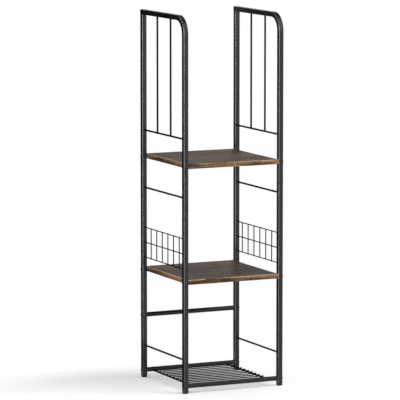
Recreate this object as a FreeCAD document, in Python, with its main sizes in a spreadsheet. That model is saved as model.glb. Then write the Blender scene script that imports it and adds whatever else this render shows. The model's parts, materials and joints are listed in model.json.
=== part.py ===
import FreeCAD, Part
import os

import Sketcher
from FreeCAD import Placement, Rotation, Vector

# Free-standing towel rack: two side frames of square tube, two boards and a wire bottom shelf.
# Millimetres. X runs to the right, Y to the back, Z up; the origin is on the floor, under the middle.

doc = FreeCAD.newDocument("towel_storage_rack")

# Driving dimensions
SIZES = {
    # outside of the frame, over the tube faces
    "rack_width": 344,
    "rack_depth": 330,
    "rack_height": 1182,
    # square tube of posts and top rails
    "tube_side": 16,
    "tube_wall": 1.2,
    "tube_corner": 2,
    "bore_corner": 0.8,
    "bend_radius": 50,
    # boards, by the height of their undersides
    "board_thickness": 15,
    "edging_thickness": 1,
    "edging_round": 0.8,
    "lower_board_height": 344,
    "upper_board_height": 707,
    # joints between the stacked sections of each post
    "joint_drop": 5.5,
    "joint_chamfer": 0.6,
    "plug_clearance": 0.15,
    "connector_reach": 25,
    "connector_chamfer": 0.6,
    # plug in the open end of each top rail
    "rail_plug_flange": 2,
    "rail_plug_edge": 0.8,
    "rail_plug_depth": 12,
    # foot caps
    "foot_height": 6,
    "foot_inset": 0.5,
    "foot_edge": 1.5,
    "spigot_gap": 3,
    # rods and guard bars between the posts of a side frame, above or below the boards
    "side_rod_diameter": 6,
    "guard_rod_lift": 77,
    "middle_rod_drop": 91.5,
    "lower_rod_height": 105,
    # welded wire grid of the middle section, above the lower board
    "grid_wire": 3.5,
    "grid_lift": 32,
    "grid_wire_spacing": 48,
    "grid_rows": 3,
    "grid_columns": 6,
    "weld_bite": 0.6,
    # round rails of the bottom shelf and the rear brace
    "cross_tube_diameter": 15,
    "cross_tube_wall": 1.2,
    "shelf_rail_height": 23.5,
    "brace_height": 203,
    # wire deck of the bottom shelf
    "bearer_diameter": 6,
    "bearer_inset": 25,
    "bearer_drop": 4,
    "deck_wire": 4,
    "deck_wires": 11,
    # low-profile socket bolts and what they screw into
    "bolt_diameter": 6,
    "bolt_reach": 14,
    "bolt_tip": 0.8,
    "bolt_head_diameter": 12,
    "bolt_head_height": 1.6,
    "bolt_head_edge": 0.8,
    "bolt_socket": 4,
    "bolt_socket_depth": 2.4,
    "bolt_hole_clearance": 0.25,
    "thread_clearance": 0.05,
    "insert_diameter": 9,
    "insert_length": 15,
}

# Places and sizes that follow from the driving dimensions
LAYOUT = {
    "post_x": "Sizes.rack_width / 2 - Sizes.tube_side / 2",
    "post_y": "Sizes.rack_depth / 2 - Sizes.tube_side / 2",
    "inner_x": "Sizes.rack_width / 2 - Sizes.tube_side",
    "inner_y": "Sizes.rack_depth / 2 - Sizes.tube_side",
    "tube_bore": "Sizes.tube_side - 2 * Sizes.tube_wall",
    "plug_side": "Sizes.tube_side - 2 * Sizes.tube_wall - 2 * Sizes.plug_clearance",
    "foot_side": "Sizes.tube_side - 2 * Sizes.foot_inset",
    "lower_joint": "Sizes.lower_board_height - Sizes.joint_drop",
    "upper_joint": "Sizes.upper_board_height - Sizes.joint_drop",
    "rail_height": "Sizes.rack_height - Sizes.tube_side / 2",
    "rail_underside": "Sizes.rack_height - Sizes.tube_side",
    "rail_end": "Sizes.rack_depth / 2 - Sizes.rail_plug_flange",
    "board_bolt_rise": "Sizes.joint_drop + Sizes.board_thickness / 2",
    "board_core_width": "Sizes.rack_width - 2 * Sizes.tube_side - 2 * Sizes.edging_thickness",
    "board_core_depth": "Sizes.rack_depth - 2 * Sizes.edging_thickness",
    "bolt_hole": "Sizes.bolt_diameter + 2 * Sizes.bolt_hole_clearance",
    "thread_bore": "Sizes.bolt_diameter + 2 * Sizes.thread_clearance",
    "cross_bore": "Sizes.cross_tube_diameter - 2 * Sizes.cross_tube_wall",
    "grid_column_pitch": "(Sizes.rack_depth - 2 * Sizes.tube_side) / (Sizes.grid_columns + 1)",
    "deck_wire_pitch": "(Sizes.rack_depth - Sizes.tube_side) / (Sizes.deck_wires + 1)",
    "bearer_x": "Sizes.rack_width / 2 - Sizes.tube_side - Sizes.bearer_inset",
    "bearer_z": "Sizes.shelf_rail_height - Sizes.bearer_drop",
    "guard_bar_y": "(Sizes.rack_depth / 2 - Sizes.tube_side) / 3",
    "guard_rod_height": "Sizes.upper_board_height + Sizes.board_thickness + Sizes.guard_rod_lift",
    "middle_rod_height": "Sizes.upper_board_height - Sizes.middle_rod_drop",
    "grid_height": "Sizes.lower_board_height + Sizes.board_thickness + Sizes.grid_lift",
}


def make_sheet(name, cells):
    """Fill a spreadsheet with one named cell per row: the value in A, its name in B."""
    sheet = doc.addObject("Spreadsheet::Sheet", name)
    for row, (alias, content) in enumerate(cells.items(), start=1):
        sheet.set(f"A{row}", str(content))
        sheet.set(f"B{row}", alias)
        sheet.setAlias(f"A{row}", alias)
    doc.recompute()
    return sheet


make_sheet("Sizes", SIZES)
make_sheet("Layout", {alias: f"={formula}" for alias, formula in LAYOUT.items()})

# Sketch element numbers: the point codes and the two fixed references of every sketch
START, END, CENTRE = range(1, 4)
X_AXIS, Y_AXIS = -1, -2
ORIGIN = (X_AXIS, START)
# Rough sizes of the first drawing of a sketch, before its constraints pull it into shape
DRAWN_FAR = 40.0
DRAWN_HALF = 10.0
DRAWN_SHANK = 5.0
DRAWN_CORNER = 2.0
DRAWN_EDGE = 1.0

ALONG_Y = Rotation(Vector(1, 0, 0), -90)
MIRROR_X = Vector(1, 0, 0)
MIRROR_Y = Vector(0, 1, 0)

nodes = []


def node(piece, label):
    """Give a finished piece its name and list it for export."""
    piece.Label = label
    nodes.append(piece)
    return piece


def place(piece, x="0", y="0", z="0"):
    """Tie a piece's position to expressions."""
    for axis, expression in (("x", x), ("y", y), ("z", z)):
        piece.setExpression(f"Placement.Base.{axis}", expression)
    return piece


def origin_feature(body, role):
    return next(f for f in body.Origin.OriginFeatures if f.Role == role)


def new_sketch(body, plane, offset=None):
    """Start a sketch on one of the body's own planes, shifted along the plane's normal."""
    sketch = body.newObject("Sketcher::SketchObject", f"{body.Name}_sketch")
    sketch.AttachmentSupport = (origin_feature(body, plane), [""])
    sketch.MapMode = "FlatFace"
    if offset:
        sketch.setExpression("AttachmentOffset.Base.z", offset)
    return sketch


def constrain(sketch, constraint, expression):
    """Add a dimension to a sketch and tie it to an expression."""
    index = sketch.addConstraint(constraint)
    sketch.setExpression(f"Constraints[{index}]", expression)


def draw_circle(sketch, diameter, x=None, y=None):
    """Circle about the origin, or about a point at positive x and y."""
    circle = sketch.addGeometry(Part.Circle(Vector(DRAWN_HALF, DRAWN_HALF, 0), Vector(0, 0, 1), DRAWN_CORNER))
    constrain(sketch, Sketcher.Constraint("Diameter", circle, DRAWN_CORNER), diameter)
    if x:
        constrain(sketch, Sketcher.Constraint("DistanceX", *ORIGIN, circle, CENTRE, DRAWN_HALF), x)
    else:
        sketch.addConstraint(Sketcher.Constraint("PointOnObject", circle, CENTRE, Y_AXIS))
    if y:
        constrain(sketch, Sketcher.Constraint("DistanceY", *ORIGIN, circle, CENTRE, DRAWN_HALF), y)
    else:
        sketch.addConstraint(Sketcher.Constraint("PointOnObject", circle, CENTRE, X_AXIS))


def draw_rectangle(sketch, width, height):
    """Rectangle centred on the origin."""
    corners = [Vector(i * DRAWN_HALF, j * DRAWN_HALF, 0) for i, j in ((-1, -1), (1, -1), (1, 1), (-1, 1))]
    lines = [sketch.addGeometry(Part.LineSegment(corners[i - 1], corners[i])) for i in range(4)]
    for i in range(4):
        sketch.addConstraint(Sketcher.Constraint("Coincident", lines[i - 1], END, lines[i], START))
        sketch.addConstraint(Sketcher.Constraint(("Vertical", "Horizontal")[i % 2], lines[i]))
    sketch.addConstraint(Sketcher.Constraint("Symmetric", lines[0], END, lines[2], END, *ORIGIN))
    constrain(sketch, Sketcher.Constraint("DistanceX", lines[1], START, lines[1], END, DRAWN_HALF), width)
    constrain(sketch, Sketcher.Constraint("DistanceY", lines[2], START, lines[2], END, DRAWN_HALF), height)


def draw_rounded_square(sketch, side, corner):
    """Square with round corners, centred on the origin."""
    flat = DRAWN_HALF - DRAWN_CORNER
    turn = Rotation(Vector(0, 0, 1), 90)
    line_start = Vector(-flat, -DRAWN_HALF, 0)
    line_end = Vector(flat, -DRAWN_HALF, 0)
    arc_centre = Vector(flat, -flat, 0)
    arc_middle = arc_centre + Vector(1, -1, 0).normalize() * DRAWN_CORNER
    arc_end = Vector(DRAWN_HALF, -flat, 0)
    lines = []
    arcs = []
    for _ in range(4):
        lines.append(sketch.addGeometry(Part.LineSegment(line_start, line_end)))
        arcs.append(sketch.addGeometry(Part.Arc(line_end, arc_middle, arc_end)))
        line_start, line_end, arc_middle, arc_end = (
            turn.multVec(point) for point in (line_start, line_end, arc_middle, arc_end)
        )
    for i in range(4):
        sketch.addConstraint(Sketcher.Constraint("Tangent", lines[i], END, arcs[i], START))
        sketch.addConstraint(Sketcher.Constraint("Tangent", arcs[i - 1], END, lines[i], START))
        sketch.addConstraint(Sketcher.Constraint(("Horizontal", "Vertical")[i % 2], lines[i]))
    for i in range(1, 4):
        sketch.addConstraint(Sketcher.Constraint("Equal", arcs[0], arcs[i]))
    sketch.addConstraint(Sketcher.Constraint("Equal", lines[0], lines[1]))
    sketch.addConstraint(Sketcher.Constraint("Symmetric", arcs[0], CENTRE, arcs[2], CENTRE, *ORIGIN))
    constrain(sketch, Sketcher.Constraint("Radius", arcs[0], DRAWN_CORNER), corner)
    across = Sketcher.Constraint("DistanceX", lines[3], START, lines[1], START, 2 * DRAWN_HALF)
    constrain(sketch, across, side)


def draw_tube_section(sketch):
    """Wall of the square tube."""
    draw_rounded_square(sketch, "Sizes.tube_side", "Sizes.tube_corner")
    draw_rounded_square(sketch, "Layout.tube_bore", "Sizes.bore_corner")


def new_body(name):
    return doc.addObject("PartDesign::Body", name)


def pad(body, sketch, length, symmetric=False, backwards=False):
    feature = body.newObject("PartDesign::Pad", f"{body.Name}_pad")
    feature.Profile = sketch
    feature.setExpression("Length", length)
    feature.SideType = "Symmetric" if symmetric else "One side"
    feature.Reversed = backwards
    return feature


def pocket(body, sketch, depth=None, backwards=False):
    """Cut a sketch to a depth, or through the whole body both ways when no depth is given."""
    feature = body.newObject("PartDesign::Pocket", f"{body.Name}_pocket")
    feature.Profile = sketch
    feature.Reversed = backwards
    if depth:
        feature.setExpression("Length", depth)
    else:
        feature.Type = "ThroughAll"
        feature.SideType = "Symmetric"
    return feature


def repeat(body, feature, axis, pitch, count):
    """Row of copies of one feature along an axis of the body, on the finished shape before it."""
    doc.recompute()
    pattern = body.newObject("PartDesign::LinearPattern", f"{body.Name}_row")
    pattern.Originals = [feature]
    pattern.Direction = (origin_feature(body, axis), [""])
    pattern.Mode = "Spacing"
    pattern.setExpression("Offset", pitch)
    pattern.setExpression("Occurrences", count)
    body.Tip = pattern
    return pattern


def end_face(feature, axis, far):
    """Number of the face of a feature that lies furthest along an axis, or furthest back along it."""
    doc.recompute()
    faces = feature.Shape.Faces
    pick = max if far else min
    return pick(range(len(faces)), key=lambda i: getattr(faces[i].CenterOfMass, axis))


def ease(body, feature, kind, elements, size):
    """Fillet or chamfer some faces or edges of a feature."""
    eased = body.newObject(f"PartDesign::{kind}", f"{body.Name}_eased")
    eased.Base = (feature, elements)
    eased.setExpression({"Fillet": "Radius", "Chamfer": "Size"}[kind], size)
    return eased


def ease_rim(body, feature, upper):
    """Chamfer the outer rim of one end of a tube, so that its joint shows as a fine line."""
    end = feature.Shape.Faces[end_face(feature, "z", upper)]
    rim = [
        f"Edge{i}"
        for i, edge in enumerate(feature.Shape.Edges, start=1)
        if any(edge.isSame(side) for side in end.OuterWire.Edges)
    ]
    return ease(body, feature, "Chamfer", rim, "Sizes.joint_chamfer")


def round_long_edges(body, strip, axis):
    """Round the two long edges of an edge band's outer face, which is the furthest back along an axis."""
    outer = strip.Shape.Faces[end_face(strip, axis, far=False)]
    longest = max(edge.Length for edge in outer.Edges)
    long_edges = [
        f"Edge{i}"
        for i, edge in enumerate(strip.Shape.Edges, start=1)
        if any(edge.isSame(side) for side in outer.Edges) and edge.Length > longest / 2
    ]
    return ease(body, strip, "Fillet", long_edges, "Sizes.edging_round")


def drill_across(body, heights):
    """Bolt holes along X through a post, at heights above its lower end."""
    for height in heights:
        sketch = new_sketch(body, "YZ_Plane")
        draw_circle(sketch, "Layout.bolt_hole", y=height)
        pocket(body, sketch)


def post(label, length, bolt_heights, joint_below, joint_above):
    """Straight piece of square tube standing on its lower end, eased where another section meets it."""
    body = new_body(label)
    sketch = new_sketch(body, "XY_Plane")
    draw_tube_section(sketch)
    tube = pad(body, sketch, length)
    doc.recompute()
    if joint_below:
        tube = ease_rim(body, tube, upper=False)
        doc.recompute()
    if joint_above:
        ease_rim(body, tube, upper=True)
    drill_across(body, bolt_heights)
    return body


def bent_tube(label):
    """Front post and top rail in one piece: up, round the bend and straight back."""
    body = new_body(label)
    section = new_sketch(body, "XY_Plane")
    draw_tube_section(section)
    path = new_sketch(body, "YZ_Plane")
    rise = path.addGeometry(Part.LineSegment(Vector(0, 0, 0), Vector(0, DRAWN_FAR, 0)))
    bend_centre = Vector(DRAWN_HALF, DRAWN_FAR, 0)
    bend_middle = bend_centre + Vector(-1, 1, 0).normalize() * DRAWN_HALF
    bend_end = bend_centre + Vector(0, DRAWN_HALF, 0)
    bend = path.addGeometry(Part.Arc(Vector(0, DRAWN_FAR, 0), bend_middle, bend_end))
    rail = path.addGeometry(Part.LineSegment(bend_end, bend_end + Vector(DRAWN_FAR, 0, 0)))
    path.addConstraint(Sketcher.Constraint("Coincident", rise, START, *ORIGIN))
    path.addConstraint(Sketcher.Constraint("Vertical", rise))
    path.addConstraint(Sketcher.Constraint("Horizontal", rail))
    # A clockwise arc is kept the other way round, so its end is where it leaves the post
    path.addConstraint(Sketcher.Constraint("Tangent", rise, END, bend, END))
    path.addConstraint(Sketcher.Constraint("Tangent", bend, START, rail, START))
    constrain(path, Sketcher.Constraint("Radius", bend, DRAWN_HALF), "Sizes.bend_radius")
    constrain(
        path,
        Sketcher.Constraint("DistanceY", *ORIGIN, rail, END, DRAWN_FAR),
        "Layout.rail_height - Layout.upper_joint",
    )
    constrain(
        path,
        Sketcher.Constraint("DistanceX", *ORIGIN, rail, END, DRAWN_FAR),
        "Layout.rail_end + Layout.post_y",
    )
    pipe = body.newObject("PartDesign::AdditivePipe", f"{label}_pipe")
    pipe.Profile = section
    pipe.Spine = (path, ["Edge1", "Edge2", "Edge3"])
    doc.recompute()
    ease_rim(body, pipe, upper=False)
    drill_across(body, ["Layout.board_bolt_rise"])
    return body


def rod(label, height):
    """Round rod between the posts of the left side frame, ending on their facing walls."""
    cylinder = doc.addObject("Part::Cylinder", label)
    cylinder.setExpression("Radius", "Sizes.side_rod_diameter / 2")
    cylinder.setExpression("Height", "2 * Layout.inner_y")
    cylinder.Placement = Placement(Vector(), ALONG_Y)
    place(cylinder, "-Layout.post_x", "-Layout.inner_y", height)
    return cylinder


def guard_bar(label, y, saddle):
    """Upright bar from the guard rod, which its foot is hollowed to fit, to the underside of the rail."""
    bar = doc.addObject("Part::Cylinder", f"{label}_blank")
    bar.setExpression("Radius", "Sizes.side_rod_diameter / 2")
    bar.setExpression("Height", "Layout.rail_underside - Layout.guard_rod_height")
    place(bar, "-Layout.post_x", y, "Layout.guard_rod_height")
    cut = doc.addObject("Part::Cut", label)
    cut.Base = bar
    cut.Tool = saddle
    return cut


def rail_plug(label):
    """Push-in plug: a flange over the end of the rail and a shorter square plug in its bore."""
    body = new_body(label)
    flange = new_sketch(body, "XZ_Plane")
    draw_rounded_square(flange, "Sizes.tube_side", "Sizes.tube_corner")
    cap = pad(body, flange, "Sizes.rail_plug_flange", backwards=True)
    outer_face = end_face(cap, "y", far=True)
    ease(body, cap, "Fillet", [f"Face{outer_face + 1}"], "Sizes.rail_plug_edge")
    plug = new_sketch(body, "XZ_Plane")
    draw_rounded_square(plug, "Layout.plug_side", "Sizes.bore_corner")
    pad(body, plug, "Sizes.rail_plug_depth")
    return body


def wire_grid(label):
    """Side grid: uprights welded to the inner side of long wires that end on the posts."""
    body = new_body(label)
    upright_sketch = new_sketch(body, "XY_Plane")
    draw_circle(
        upright_sketch,
        "Sizes.grid_wire",
        x="Sizes.grid_wire - Sizes.weld_bite",
        y="Layout.grid_column_pitch",
    )
    upright = pad(body, upright_sketch, "Sizes.grid_wire_spacing * (Sizes.grid_rows - 1)")
    wire_sketch = new_sketch(body, "XZ_Plane")
    draw_circle(wire_sketch, "Sizes.grid_wire")
    wire = pad(body, wire_sketch, "2 * Layout.inner_y", backwards=True)
    repeat(body, wire, "Z_Axis", "Sizes.grid_wire_spacing", "Sizes.grid_rows")
    repeat(body, upright, "Y_Axis", "Layout.grid_column_pitch", "Sizes.grid_columns")
    return body


def ring(label, outer, bore, length):
    """Round tube, nut or insert lying along X."""
    body = new_body(label)
    sketch = new_sketch(body, "YZ_Plane")
    draw_circle(sketch, outer)
    draw_circle(sketch, bore)
    pad(body, sketch, length)
    return body


def foot(label):
    """Foot cap: a rounded pad under the tube and a square spigot in its bore."""
    body = new_body(label)
    pad_sketch = new_sketch(body, "XY_Plane")
    draw_rounded_square(pad_sketch, "Layout.foot_side", "Sizes.tube_corner")
    cap = pad(body, pad_sketch, "Sizes.foot_height")
    floor_face = end_face(cap, "z", far=False)
    ease(body, cap, "Fillet", [f"Face{floor_face + 1}"], "Sizes.foot_edge")
    spigot_sketch = new_sketch(body, "XY_Plane", "Sizes.foot_height")
    draw_rounded_square(spigot_sketch, "Layout.plug_side", "Sizes.bore_corner")
    spigot_top = "Sizes.shelf_rail_height - Layout.bolt_hole / 2 - Sizes.spigot_gap"
    pad(body, spigot_sketch, f"{spigot_top} - Sizes.foot_height")
    return body


def connector(label):
    """Square plug inside a joint of a post; the bolt of the board above the joint passes through it."""
    body = new_body(label)
    sketch = new_sketch(body, "XY_Plane")
    draw_rounded_square(sketch, "Layout.plug_side", "Sizes.bore_corner")
    block = pad(body, sketch, "2 * Sizes.connector_reach", symmetric=True)
    ends = [f"Face{end_face(block, 'z', far) + 1}" for far in (False, True)]
    ease(body, block, "Chamfer", ends, "Sizes.connector_chamfer")
    drill_across(body, ["Layout.board_bolt_rise"])
    return body


def board(label):
    """Board core with a blind bore for a threaded insert at each corner of its two sides."""
    body = new_body(label)
    sketch = new_sketch(body, "XY_Plane")
    draw_rectangle(sketch, "Layout.board_core_width", "Layout.board_core_depth")
    pad(body, sketch, "Sizes.board_thickness", symmetric=True)
    for sign, backwards in (("-", True), ("", False)):
        bores = new_sketch(body, "YZ_Plane", f"{sign}Layout.board_core_width / 2")
        draw_circle(bores, "Sizes.insert_diameter", x="Layout.post_y")
        bore = pocket(body, bores, "Sizes.insert_length", backwards)
        mirror = body.newObject("PartDesign::Mirrored", f"{label}_bores")
        mirror.Originals = [bore]
        mirror.MirrorPlane = (origin_feature(body, "XZ_Plane"), [""])
        body.Tip = mirror
    return body


def long_edging(label):
    """Edge band on the front edge, over the ends of the side bands."""
    body = new_body(label)
    sketch = new_sketch(body, "XZ_Plane")
    draw_rectangle(sketch, "2 * Layout.inner_x", "Sizes.board_thickness")
    strip = pad(body, sketch, "Sizes.edging_thickness", backwards=True)
    doc.recompute()
    round_long_edges(body, strip, "y")
    return body


def side_edging(label):
    """Edge band on a side edge, with a hole for each of its two bolts."""
    body = new_body(label)
    sketch = new_sketch(body, "YZ_Plane")
    draw_rectangle(sketch, "Layout.board_core_depth", "Sizes.board_thickness")
    strip = pad(body, sketch, "Sizes.edging_thickness")
    doc.recompute()
    round_long_edges(body, strip, "x")
    holes = new_sketch(body, "YZ_Plane")
    draw_circle(holes, "Layout.bolt_hole", x="Layout.post_y")
    hole = pocket(body, holes)
    mirror = body.newObject("PartDesign::Mirrored", f"{label}_holes")
    mirror.Originals = [hole]
    mirror.MirrorPlane = (origin_feature(body, "XZ_Plane"), [""])
    body.Tip = mirror
    return body


def wire_deck(label):
    """Bottom shelf deck: cross wires welded on two bearers whose ends are hollowed to fit the rails."""
    body = new_body(label)
    bearer_sketch = new_sketch(body, "XZ_Plane")
    draw_circle(bearer_sketch, "Sizes.bearer_diameter")
    bearer = pad(body, bearer_sketch, "2 * Layout.post_y", backwards=True)
    wire_sketch = new_sketch(body, "YZ_Plane", "-Sizes.bearer_diameter / 2")
    draw_circle(
        wire_sketch,
        "Sizes.deck_wire",
        x="Layout.deck_wire_pitch",
        y="Sizes.bearer_diameter / 2 + Sizes.deck_wire / 2 - Sizes.weld_bite",
    )
    wire = pad(body, wire_sketch, "2 * Layout.bearer_x + Sizes.bearer_diameter")
    repeat(body, wire, "Y_Axis", "Layout.deck_wire_pitch", "Sizes.deck_wires")
    repeat(body, bearer, "X_Axis", "2 * Layout.bearer_x", "2")
    saddles = new_sketch(body, "YZ_Plane")
    draw_circle(saddles, "Sizes.cross_tube_diameter", y="Sizes.bearer_drop")
    draw_circle(saddles, "Sizes.cross_tube_diameter", x="2 * Layout.post_y", y="Sizes.bearer_drop")
    body.Tip = pocket(body, saddles)
    return body


def bolt(label):
    """Socket bolt along X: a flat head with a round edge, a plain shank and a chamfered tip."""
    body = new_body(label)
    outline = new_sketch(body, "XY_Plane")
    round_centre = Vector(DRAWN_EDGE - DRAWN_CORNER, DRAWN_HALF - DRAWN_EDGE, 0)
    round_start = round_centre - Vector(DRAWN_EDGE, 0, 0)
    round_middle = round_centre + Vector(-1, 1, 0).normalize() * DRAWN_EDGE
    round_end = round_centre + Vector(0, DRAWN_EDGE, 0)
    points = [
        round_end,
        Vector(0, DRAWN_HALF, 0),
        Vector(0, DRAWN_SHANK, 0),
        Vector(DRAWN_FAR - DRAWN_EDGE, DRAWN_SHANK, 0),
        Vector(DRAWN_FAR, DRAWN_SHANK - DRAWN_EDGE, 0),
        Vector(DRAWN_FAR, 0, 0),
        Vector(-DRAWN_CORNER, 0, 0),
        round_start,
    ]
    lines = [outline.addGeometry(Part.LineSegment(a, b)) for a, b in zip(points, points[1:])]
    crown, under, side, bevel, end, axis, face = lines
    edge = outline.addGeometry(Part.Arc(round_start, round_middle, round_end))
    for first, second in zip(lines, lines[1:]):
        outline.addConstraint(Sketcher.Constraint("Coincident", first, END, second, START))
    # The arc is kept anticlockwise, from the rim to the face
    outline.addConstraint(Sketcher.Constraint("Tangent", edge, START, crown, START))
    outline.addConstraint(Sketcher.Constraint("Tangent", face, END, edge, END))
    for line in (crown, side):
        outline.addConstraint(Sketcher.Constraint("Horizontal", line))
    for line in (under, end, face):
        outline.addConstraint(Sketcher.Constraint("Vertical", line))
    outline.addConstraint(Sketcher.Constraint("PointOnObject", axis, START, X_AXIS))
    outline.addConstraint(Sketcher.Constraint("PointOnObject", axis, END, X_AXIS))
    outline.addConstraint(Sketcher.Constraint("PointOnObject", under, START, Y_AXIS))
    constrain(outline, Sketcher.Constraint("Radius", edge, DRAWN_EDGE), "Sizes.bolt_head_edge")
    constrain(
        outline,
        Sketcher.Constraint("DistanceX", axis, END, *ORIGIN, DRAWN_CORNER),
        "Sizes.bolt_head_height",
    )
    constrain(
        outline,
        Sketcher.Constraint("DistanceY", *ORIGIN, under, START, DRAWN_HALF),
        "Sizes.bolt_head_diameter / 2",
    )
    constrain(
        outline,
        Sketcher.Constraint("DistanceY", *ORIGIN, under, END, DRAWN_SHANK),
        "Sizes.bolt_diameter / 2",
    )
    constrain(
        outline,
        Sketcher.Constraint("DistanceX", *ORIGIN, axis, START, DRAWN_FAR),
        "Sizes.tube_side + Sizes.bolt_reach",
    )
    for direction, near, far in (("DistanceX", START, END), ("DistanceY", END, START)):
        chamfer = Sketcher.Constraint(direction, bevel, near, bevel, far, DRAWN_EDGE)
        constrain(outline, chamfer, "Sizes.bolt_tip")
    turned = body.newObject("PartDesign::Revolution", f"{label}_turned")
    turned.Profile = outline
    turned.ReferenceAxis = (outline, ["H_Axis"])
    socket = new_sketch(body, "YZ_Plane", "-Sizes.bolt_head_height")
    draw_hexagon(socket, "Sizes.bolt_socket")
    pocket(body, socket, "Sizes.bolt_socket_depth", backwards=True)
    return body


def draw_hexagon(sketch, across_flats):
    """Hexagon about the origin, with a pair of flats facing up and down."""
    turn = Rotation(Vector(0, 0, 1), 60)
    corner = Vector(DRAWN_CORNER, 0, 0)
    lines = []
    for _ in range(6):
        following = turn.multVec(corner)
        lines.append(sketch.addGeometry(Part.LineSegment(corner, following)))
        corner = following
    ring_line = sketch.addGeometry(Part.Circle(Vector(), Vector(0, 0, 1), DRAWN_CORNER), True)
    for i in range(6):
        sketch.addConstraint(Sketcher.Constraint("Coincident", lines[i - 1], END, lines[i], START))
        sketch.addConstraint(Sketcher.Constraint("PointOnObject", lines[i], START, ring_line))
    for line in lines[1:]:
        sketch.addConstraint(Sketcher.Constraint("Equal", lines[0], line))
    sketch.addConstraint(Sketcher.Constraint("Coincident", ring_line, CENTRE, *ORIGIN))
    sketch.addConstraint(Sketcher.Constraint("Horizontal", lines[1]))
    constrain(
        sketch,
        Sketcher.Constraint("DistanceY", lines[4], START, lines[1], START, DRAWN_CORNER),
        across_flats,
    )


def mirrored(piece, normal, label):
    """Mirror image of a piece about the middle plane of the rack that has this normal."""
    image = doc.addObject("Part::Mirroring", label)
    image.Source = piece
    image.Normal = normal
    return image


def both_sides(piece, name):
    """A left piece and its mirror image on the right, as two nodes."""
    node(piece, f"left_{name}")
    node(mirrored(piece, MIRROR_X, f"right_{name}"), f"right_{name}")


def group(label, pieces):
    """Like pieces that share one node."""
    together = doc.addObject("Part::Compound", label)
    together.Links = pieces
    return node(together, label)


def left_and_right(label, piece):
    """A group of two: the piece and its mirror image."""
    return group(label, [piece, mirrored(piece, MIRROR_X, f"{label}_right")])


def four_corners(label, piece):
    """A group of four: the piece at the left front corner and its images at the other three."""
    right = mirrored(piece, MIRROR_X, f"{label}_right")
    images = [mirrored(source, MIRROR_Y, f"{label}_rear") for source in (piece, right)]
    return group(label, [piece, right, *images])


def build_side_frames():
    """Posts, top rails, rods, guard bars, grids, plugs and feet of the two side frames."""
    front = bent_tube("left_upper_front_tube")
    place(front, "-Layout.post_x", "-Layout.post_y", "Layout.upper_joint")
    both_sides(front, "upper_front_tube")
    board_holes = ["Layout.board_bolt_rise"]
    upper_length = "Layout.rail_underside - Layout.upper_joint"
    middle_length = "Layout.upper_joint - Layout.lower_joint"
    lower_length = "Layout.lower_joint - Sizes.foot_height"
    rear = post("left_upper_rear_post", upper_length, board_holes, joint_below=True, joint_above=False)
    place(rear, "-Layout.post_x", "Layout.post_y", "Layout.upper_joint")
    both_sides(rear, "upper_rear_post")
    rail_holes = ["Sizes.shelf_rail_height - Sizes.foot_height"]
    brace_holes = ["Sizes.brace_height - Sizes.foot_height"]
    for end, y, extra_holes in (("front", "-Layout.post_y", []), ("rear", "Layout.post_y", brace_holes)):
        middle_name = f"left_middle_{end}_post"
        middle = post(middle_name, middle_length, board_holes, joint_below=True, joint_above=True)
        place(middle, "-Layout.post_x", y, "Layout.lower_joint")
        both_sides(middle, f"middle_{end}_post")
        lower_holes = rail_holes + extra_holes
        lower_name = f"left_lower_{end}_post"
        lower = post(lower_name, lower_length, lower_holes, joint_below=False, joint_above=True)
        place(lower, "-Layout.post_x", y, "Sizes.foot_height")
        both_sides(lower, f"lower_{end}_post")
        both_sides(place(foot(f"left_{end}_foot"), "-Layout.post_x", y), f"{end}_foot")
    plug = place(rail_plug("left_rail_plug"), "-Layout.post_x", "Layout.rail_end", "Layout.rail_height")
    both_sides(plug, "rail_plug")
    guard = rod("left_guard_rod", "Layout.guard_rod_height")
    both_sides(guard, "guard_rod")
    for end, y in (("front", "-Layout.guard_bar_y"), ("rear", "Layout.guard_bar_y")):
        both_sides(guard_bar(f"left_{end}_guard_bar", y, guard), f"{end}_guard_bar")
    both_sides(rod("left_middle_rod", "Layout.middle_rod_height"), "middle_rod")
    both_sides(rod("left_lower_rod", "Sizes.lower_rod_height"), "lower_rod")
    grid = place(wire_grid("left_wire_grid"), "-Layout.post_x", "-Layout.inner_y", "Layout.grid_height")
    both_sides(grid, "wire_grid")


def build_boards():
    """Two boards with edge bands, and the connectors, inserts and bolts at their corners."""
    for tier in ("upper", "lower"):
        underside = f"Sizes.{tier}_board_height"
        middle = f"({underside} + Sizes.board_thickness / 2)"
        node(place(board(f"{tier}_board"), z=middle), f"{tier}_board")
        front = long_edging(f"{tier}_board_front_edging")
        place(front, y="-Sizes.rack_depth / 2", z=middle)
        node(front, front.Name)
        rear_name = f"{tier}_board_rear_edging"
        node(mirrored(front, MIRROR_Y, rear_name), rear_name)
        side = place(side_edging(f"{tier}_board_left_edging"), "-Layout.inner_x", z=middle)
        node(side, side.Name)
        right_name = f"{tier}_board_right_edging"
        node(mirrored(side, MIRROR_X, right_name), right_name)
        joint = connector(f"{tier}_connector")
        place(joint, "-Layout.post_x", "-Layout.post_y", f"Layout.{tier}_joint")
        four_corners(f"{tier}_post_connectors", joint)
        insert = ring(f"{tier}_insert", "Sizes.insert_diameter", "Layout.thread_bore", "Sizes.insert_length")
        place(insert, "-Layout.board_core_width / 2", "-Layout.post_y", middle)
        four_corners(f"{tier}_board_inserts", insert)
        screw = place(bolt(f"{tier}_board_bolt"), "-Sizes.rack_width / 2", "-Layout.post_y", middle)
        four_corners(f"{tier}_board_bolts", screw)


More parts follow.
